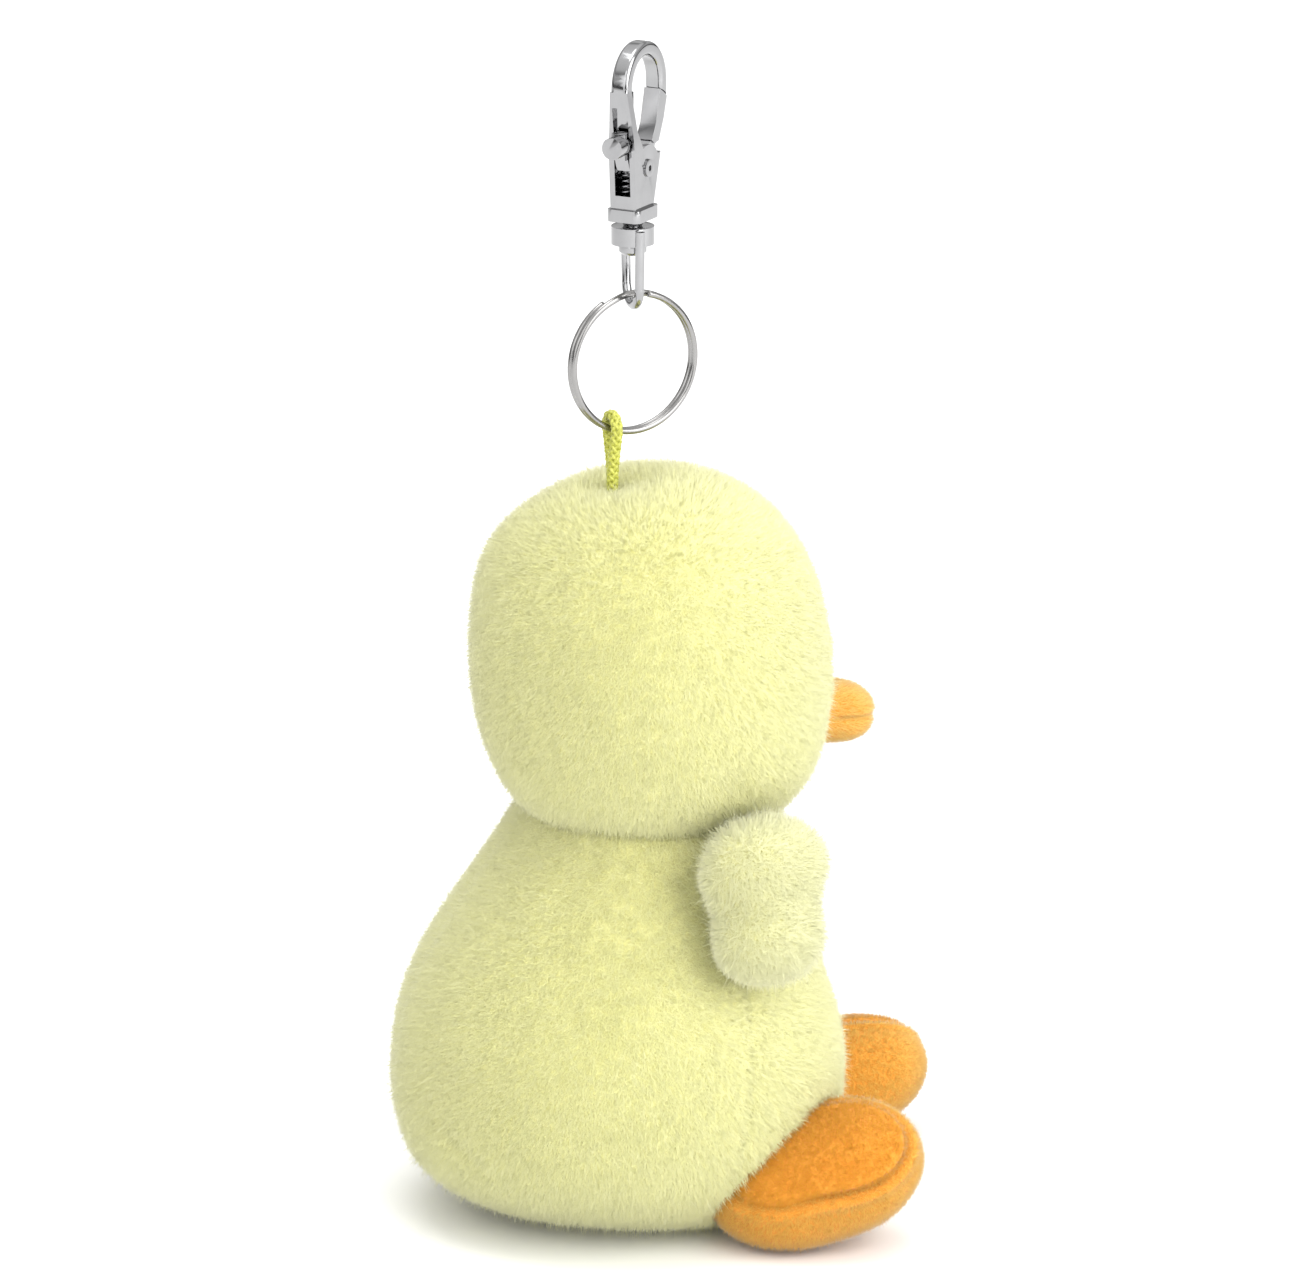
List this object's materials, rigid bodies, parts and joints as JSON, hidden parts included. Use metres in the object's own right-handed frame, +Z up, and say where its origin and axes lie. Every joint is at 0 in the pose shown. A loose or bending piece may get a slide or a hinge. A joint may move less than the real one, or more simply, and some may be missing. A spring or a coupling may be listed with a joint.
{
  "type": "plush keychain",
  "caption": "Stuffed chick on a braided hang loop, carried by a split ring and a swivelling trigger clasp.",
  "frame": {"origin": "centre of the clasp hook's round inner wall", "axes": "+Z up along the hanging line; the chick faces -Y and its right side is -X"},
  "size_m": [0.0641, 0.08, 0.1648],
  "materials": {
    "chrome": "polished",
    "spring_steel": "satin",
    "cord": "braided",
    "yellow_plush": "short pile",
    "orange_plush": "short pile",
    "thread": "matte",
    "stuffing": "loose fibre",
    "pouch_cloth": "woven",
    "eye_plastic": "glossy",
    "washer_plastic": "matte",
    "pellet_plastic": "matte"
  },
  "bodies": {
    "clasp": {"clasp_body": "chrome", "gate_pin": "chrome", "gate_spring": "spring_steel", "swivel_rivet": "chrome"},
    "gate": {"gate_lever": "chrome"},
    "swivel": {"swivel_eye": "chrome"},
    "ring": {"split_ring": "chrome"},
    "chick": {"hang_loop_cord": "cord", "loop_anchor_knot": "cord", "head_left_panel": "yellow_plush", "head_right_panel": "yellow_plush", "head_gusset_panel": "yellow_plush", "head_stuffing": "stuffing", "eye_left": "eye_plastic", "eye_right": "eye_plastic", "eye_washer_left": "washer_plastic", "eye_washer_right": "washer_plastic", "beak_upper_panel": "orange_plush", "beak_lower_panel": "orange_plush", "beak_stuffing": "stuffing", "neck_seam_thread": "thread", "body_back_left_panel": "yellow_plush", "body_back_right_panel": "yellow_plush", "body_belly_panel": "yellow_plush", "body_base_panel": "yellow_plush", "body_stuffing": "stuffing", "pellet_pouch": "pouch_cloth", "weighting_pellets": "pellet_plastic", "foot_left_upper_panel": "orange_plush", "foot_left_sole_panel": "orange_plush", "foot_left_stuffing": "stuffing", "foot_right_upper_panel": "orange_plush", "foot_right_sole_panel": "orange_plush", "foot_right_stuffing": "stuffing"},
    "wing_left": {"wing_left_outer_panel": "yellow_plush", "wing_left_inner_panel": "yellow_plush", "wing_left_stuffing": "stuffing"},
    "wing_right": {"wing_right_outer_panel": "yellow_plush", "wing_right_inner_panel": "yellow_plush", "wing_right_stuffing": "stuffing"}
  },
  "joints": [
    {"name": "gate_pivot", "type": "hinge", "parent": "clasp", "child": "gate", "pos_m": [-0.00082, 0.00057, -0.011], "axis": [-0.5736, -0.8192, 0], "range_deg": [0, 28], "stiffness_Nm_per_rad": 0.02, "springref_deg": -17.19, "deforming": ["gate_spring"]},
    {"name": "swivel_spin", "type": "hinge", "parent": "clasp", "child": "swivel", "pos_m": [-0.00152, 0.00106, -0.0202], "axis": [0, 0, 1], "continuous": true},
    {"name": "ring_swing", "type": "hinge", "parent": "swivel", "child": "ring", "pos_m": [-0.00152, 0.00106, -0.02995], "axis": [0.9848, 0.1736, 0], "range_deg": [-25, 25]},
    {"name": "chick_swing", "type": "hinge", "parent": "ring", "child": "chick", "pos_m": [-0.00279, 0.00407, -0.04692], "axis": [-0.3672, 0.865, 0.342], "range_deg": [-30, 30]},
    {"name": "wing_left_flap", "type": "hinge", "parent": "chick", "child": "wing_left", "pos_m": [0.01846, -0.01008, -0.0982], "axis": [-0.3907, -0.9205, 0], "range_deg": [0, 25], "stiffness_Nm_per_rad": 0.004},
    {"name": "wing_right_flap", "type": "hinge", "parent": "chick", "child": "wing_right", "pos_m": [-0.02149, -0.01008, -0.0982], "axis": [-0.3907, 0.9205, 0], "range_deg": [0, 25], "stiffness_Nm_per_rad": 0.004}
  ]
}
